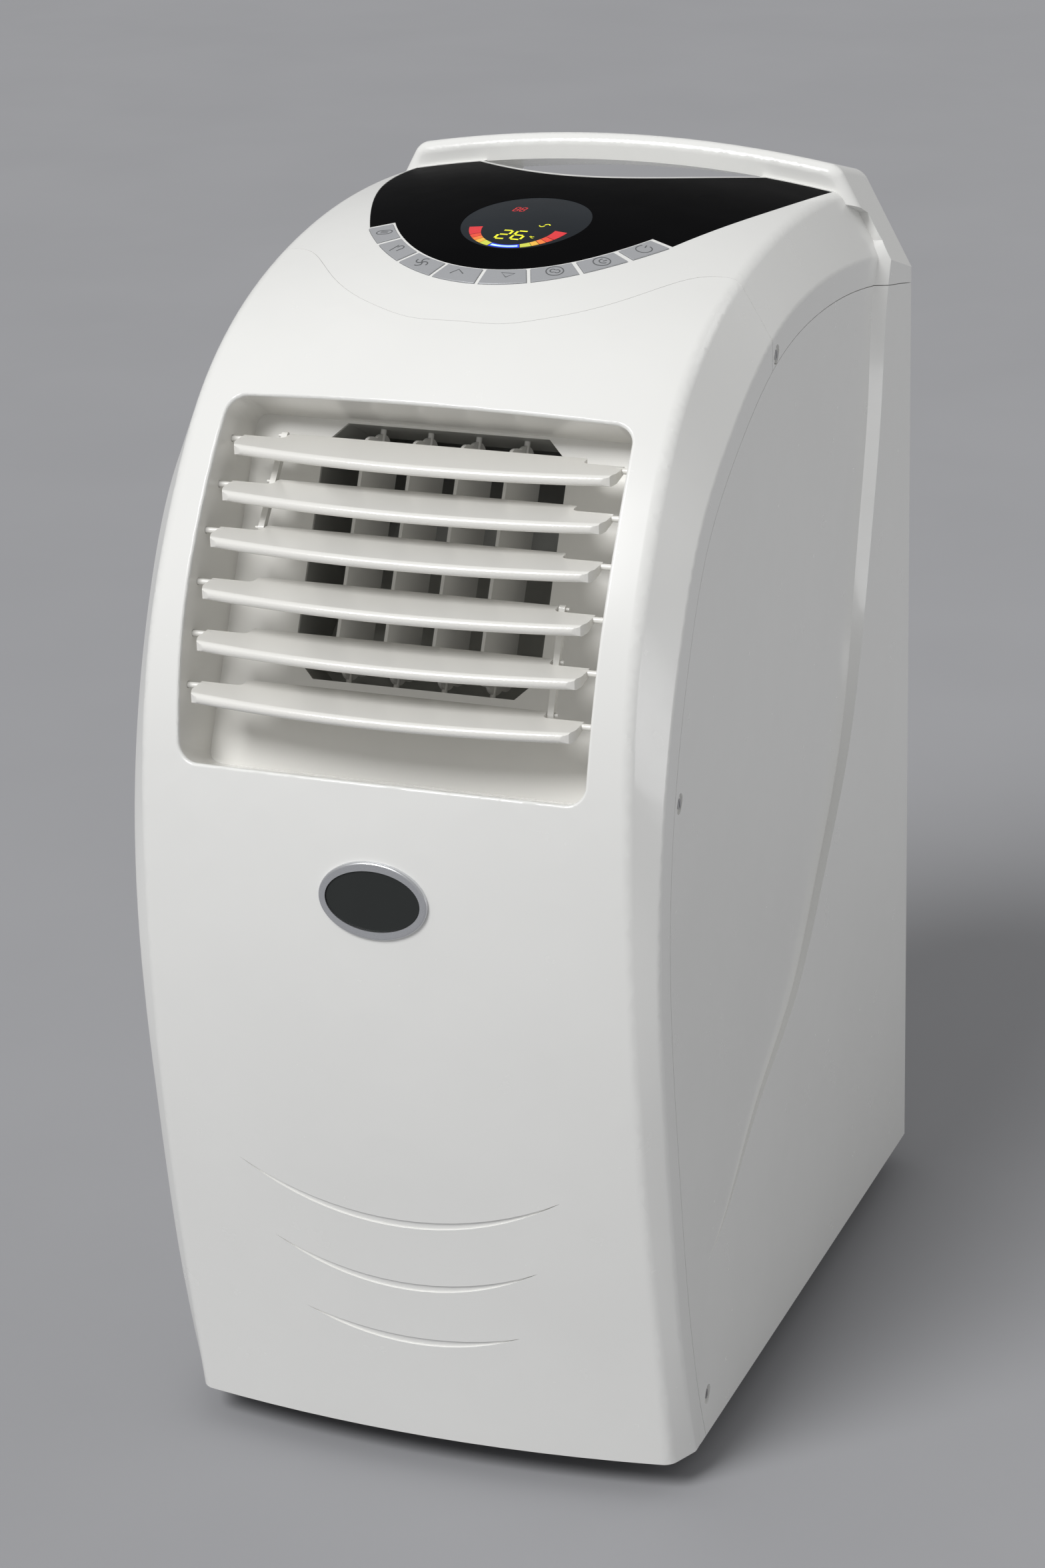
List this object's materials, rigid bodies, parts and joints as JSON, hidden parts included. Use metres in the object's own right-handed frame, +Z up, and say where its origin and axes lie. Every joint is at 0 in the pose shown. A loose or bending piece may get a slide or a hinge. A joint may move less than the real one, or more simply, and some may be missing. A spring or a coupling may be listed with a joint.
{
  "type": "portable air conditioner",
  "caption": "Upright portable air conditioner with a bowed front, swinging louvres over turning vanes, a domed control field, a rear carrying handle, hose collar and castors.",
  "frame": {"origin": "on the floor, under the middle of the overall width and depth", "axes": "+X to the right in the front view, +Y from the front to the rear, along the hose collar's bore, +Z up"},
  "size_m": [0.4044, 0.6184, 0.8353],
  "materials": {
    "case_white": "glossy warm white moulding",
    "louvre_white": "glossy warm white moulding",
    "duct_white": "plain white moulding",
    "inner_white": "plain off-white moulding",
    "panel_black": "semi-gloss black",
    "display_dark": "dark smoked window",
    "key_silver": "silver painted keys",
    "badge_silver": "satin silver",
    "badge_dark": "charcoal",
    "screw_steel": "bright screw heads",
    "mesh_grey": "fine grey mesh",
    "rubber_black": "soft black rubber",
    "base_grey": "dark grey moulding",
    "fin_aluminium": "bare fins",
    "fan_black": "black fan moulding",
    "motor_steel": "zinc plated can",
    "compressor_black": "black painted steel",
    "copper": "bare copper",
    "board_green": "circuit board",
    "castor_black": "black nylon",
    "wheel_black": "black nylon"
  },
  "bodies": {
    "case": {"front_panel": "case_white", "top_cover": "case_white", "side_panel_left": "case_white", "side_panel_right": "case_white", "shell_screws": "screw_steel", "badge_ring": "badge_silver", "badge_oval": "badge_dark", "control_panel": "panel_black", "display_window": "display_dark", "louvre_frame": "louvre_white", "air_duct": "duct_white", "rear_panel": "case_white", "exhaust_collar": "case_white", "cord_gland": "rubber_black", "base_pan": "base_grey", "mid_deck": "inner_white", "evaporator_coil": "fin_aluminium", "condenser_coil": "fin_aluminium", "cold_blower_housing": "inner_white", "cold_blower_motor": "motor_steel", "hot_blower_housing": "inner_white", "hot_blower_motor": "motor_steel", "exhaust_duct": "inner_white", "compressor": "compressor_black", "refrigerant_pipes": "copper", "control_board": "board_green"},
    "blade_1": {"blade_1": "louvre_white"},
    "blade_2": {"blade_2": "louvre_white"},
    "blade_3": {"blade_3": "louvre_white"},
    "blade_4": {"blade_4": "louvre_white"},
    "blade_5": {"blade_5": "louvre_white"},
    "blade_6": {"blade_6": "louvre_white"},
    "blade_link_upper": {"blade_link_upper": "louvre_white"},
    "blade_link_lower": {"blade_link_lower": "louvre_white"},
    "vane_1": {"vane_1": "louvre_white"},
    "vane_2": {"vane_2": "louvre_white"},
    "vane_3": {"vane_3": "louvre_white"},
    "vane_4": {"vane_4": "louvre_white"},
    "vane_link": {"vane_link": "louvre_white"},
    "button_1": {"button_1": "key_silver"},
    "button_2": {"button_2": "key_silver"},
    "button_3": {"button_3": "key_silver"},
    "button_4": {"button_4": "key_silver"},
    "button_5": {"button_5": "key_silver"},
    "button_6": {"button_6": "key_silver"},
    "button_7": {"button_7": "key_silver"},
    "button_8": {"button_8": "key_silver"},
    "castor_front_left": {"castor_fork_front_left": "castor_black"},
    "wheel_front_left": {"castor_wheel_front_left": "wheel_black"},
    "castor_front_right": {"castor_fork_front_right": "castor_black"},
    "wheel_front_right": {"castor_wheel_front_right": "wheel_black"},
    "castor_rear_left": {"castor_fork_rear_left": "castor_black"},
    "wheel_rear_left": {"castor_wheel_rear_left": "wheel_black"},
    "castor_rear_right": {"castor_fork_rear_right": "castor_black"},
    "wheel_rear_right": {"castor_wheel_rear_right": "wheel_black"},
    "cold_fan": {"cold_blower_wheel": "fan_black"},
    "hot_fan": {"hot_blower_wheel": "fan_black"},
    "filter": {"filter_cassette": "case_white", "filter_mesh": "mesh_grey"},
    "drain_plug": {"drain_plug": "rubber_black"}
  },
  "joints": [
    {"name": "blade_1_swing", "type": "hinge", "parent": "case", "child": "blade_1", "pos_m": [0, -0.18327, 0.71491], "axis": [1, 0, 0], "range_deg": [-16, 12]},
    {"name": "blade_2_swing", "type": "hinge", "parent": "case", "child": "blade_2", "pos_m": [0, -0.20554, 0.69041], "axis": [1, 0, 0], "range_deg": [-16, 12]},
    {"name": "blade_3_swing", "type": "hinge", "parent": "case", "child": "blade_3", "pos_m": [0, -0.22781, 0.66592], "axis": [1, 0, 0], "range_deg": [-16, 12]},
    {"name": "blade_4_swing", "type": "hinge", "parent": "case", "child": "blade_4", "pos_m": [0, -0.24435, 0.63619], "axis": [1, 0, 0], "range_deg": [-16, 12]},
    {"name": "blade_5_swing", "type": "hinge", "parent": "case", "child": "blade_5", "pos_m": [0, -0.2571, 0.60507], "axis": [1, 0, 0], "range_deg": [-16, 12]},
    {"name": "blade_6_swing", "type": "hinge", "parent": "case", "child": "blade_6", "pos_m": [0, -0.26986, 0.57395], "axis": [1, 0, 0], "range_deg": [-16, 12]},
    {"name": "link_upper_pivot", "type": "hinge", "parent": "blade_1", "child": "blade_link_upper", "pos_m": [-0.106, -0.16967, 0.71515], "axis": [1, 0, 0], "range_deg": [-12, 16]},
    {"name": "link_lower_pivot", "type": "hinge", "parent": "blade_4", "child": "blade_link_lower", "pos_m": [0.106, -0.23075, 0.63643], "axis": [1, 0, 0], "range_deg": [-12, 16]},
    {"name": "vane_1_turn", "type": "hinge", "parent": "case", "child": "vane_1", "pos_m": [-0.05025, -0.17455, 0.6383], "axis": [0, 0.4602, 0.8878], "range_deg": [-20, 35]},
    {"name": "vane_2_turn", "type": "hinge", "parent": "case", "child": "vane_2", "pos_m": [-0.01675, -0.17455, 0.6383], "axis": [0, 0.4602, 0.8878], "range_deg": [-20, 35]},
    {"name": "vane_3_turn", "type": "hinge", "parent": "case", "child": "vane_3", "pos_m": [0.01675, -0.17455, 0.6383], "axis": [0, 0.4602, 0.8878], "range_deg": [-20, 35]},
    {"name": "vane_4_turn", "type": "hinge", "parent": "case", "child": "vane_4", "pos_m": [0.05025, -0.17455, 0.6383], "axis": [0, 0.4602, 0.8878], "range_deg": [-20, 35]},
    {"name": "vane_link_pivot", "type": "hinge", "parent": "vane_1", "child": "vane_link", "pos_m": [-0.05362, -0.21837, 0.58105], "axis": [0, 0.4602, 0.8878], "range_deg": [-35, 20]},
    {"name": "button_1_press", "type": "slide", "parent": "case", "child": "button_1", "axis": [0, 0.2588, -0.9659], "range_m": [0, 0.001], "stiffness_N_per_m": 500, "springref_m": -0.001},
    {"name": "button_2_press", "type": "slide", "parent": "case", "child": "button_2", "axis": [0, 0.2588, -0.9659], "range_m": [0, 0.001], "stiffness_N_per_m": 500, "springref_m": -0.001},
    {"name": "button_3_press", "type": "slide", "parent": "case", "child": "button_3", "axis": [0, 0.2588, -0.9659], "range_m": [0, 0.001], "stiffness_N_per_m": 500, "springref_m": -0.001},
    {"name": "button_4_press", "type": "slide", "parent": "case", "child": "button_4", "axis": [0, 0.2588, -0.9659], "range_m": [0, 0.001], "stiffness_N_per_m": 500, "springref_m": -0.001},
    {"name": "button_5_press", "type": "slide", "parent": "case", "child": "button_5", "axis": [0, 0.2588, -0.9659], "range_m": [0, 0.001], "stiffness_N_per_m": 500, "springref_m": -0.001},
    {"name": "button_6_press", "type": "slide", "parent": "case", "child": "button_6", "axis": [0, 0.2588, -0.9659], "range_m": [0, 0.001], "stiffness_N_per_m": 500, "springref_m": -0.001},
    {"name": "button_7_press", "type": "slide", "parent": "case", "child": "button_7", "axis": [0, 0.2588, -0.9659], "range_m": [0, 0.001], "stiffness_N_per_m": 500, "springref_m": -0.001},
    {"name": "button_8_press", "type": "slide", "parent": "case", "child": "button_8", "axis": [0, 0.2588, -0.9659], "range_m": [0, 0.001], "stiffness_N_per_m": 500, "springref_m": -0.001},
    {"name": "castor_front_left_swivel", "type": "hinge", "parent": "case", "child": "castor_front_left", "pos_m": [-0.12, -0.18, 0.045], "axis": [0, 0, 1], "continuous": true},
    {"name": "wheel_front_left_spin", "type": "hinge", "parent": "castor_front_left", "child": "wheel_front_left", "pos_m": [-0.12, -0.165, 0.021], "axis": [1, 0, 0], "continuous": true},
    {"name": "castor_front_right_swivel", "type": "hinge", "parent": "case", "child": "castor_front_right", "pos_m": [0.12, -0.18, 0.045], "axis": [0, 0, 1], "continuous": true},
    {"name": "wheel_front_right_spin", "type": "hinge", "parent": "castor_front_right", "child": "wheel_front_right", "pos_m": [0.12, -0.165, 0.021], "axis": [1, 0, 0], "continuous": true},
    {"name": "castor_rear_left_swivel", "type": "hinge", "parent": "case", "child": "castor_rear_left", "pos_m": [-0.13, 0.225, 0.045], "axis": [0, 0, 1], "continuous": true},
    {"name": "wheel_rear_left_spin", "type": "hinge", "parent": "castor_rear_left", "child": "wheel_rear_left", "pos_m": [-0.13, 0.24, 0.021], "axis": [1, 0, 0], "continuous": true},
    {"name": "castor_rear_right_swivel", "type": "hinge", "parent": "case", "child": "castor_rear_right", "pos_m": [0.13, 0.225, 0.045], "axis": [0, 0, 1], "continuous": true},
    {"name": "wheel_rear_right_spin", "type": "hinge", "parent": "castor_rear_right", "child": "wheel_rear_right", "pos_m": [0.13, 0.24, 0.021], "axis": [1, 0, 0], "continuous": true},
    {"name": "cold_fan_spin", "type": "hinge", "parent": "case", "child": "cold_fan", "pos_m": [0.055, 0.125, 0.568], "axis": [0, 1, 0], "continuous": true},
    {"name": "hot_fan_spin", "type": "hinge", "parent": "case", "child": "hot_fan", "pos_m": [-0.049, 0.14, 0.14], "axis": [0, 1, 0], "continuous": true},
    {"name": "filter_pull", "type": "slide", "parent": "case", "child": "filter", "axis": [0, 1, 0], "range_m": [0, 0.06]},
    {"name": "drain_plug_pull", "type": "slide", "parent": "case", "child": "drain_plug", "axis": [0, 1, 0], "range_m": [0, 0.03]}
  ],
  "couplings": [
    {"joint": "blade_2_swing", "follows": "blade_1_swing", "ratio": 1},
    {"joint": "blade_3_swing", "follows": "blade_1_swing", "ratio": 1},
    {"joint": "blade_5_swing", "follows": "blade_4_swing", "ratio": 1},
    {"joint": "blade_6_swing", "follows": "blade_4_swing", "ratio": 1},
    {"joint": "link_upper_pivot", "follows": "blade_1_swing", "ratio": -1},
    {"joint": "link_lower_pivot", "follows": "blade_4_swing", "ratio": -1},
    {"joint": "vane_2_turn", "follows": "vane_1_turn", "ratio": 1},
    {"joint": "vane_3_turn", "follows": "vane_1_turn", "ratio": 1},
    {"joint": "vane_4_turn", "follows": "vane_1_turn", "ratio": 1},
    {"joint": "vane_link_pivot", "follows": "vane_1_turn", "ratio": -1}
  ]
}
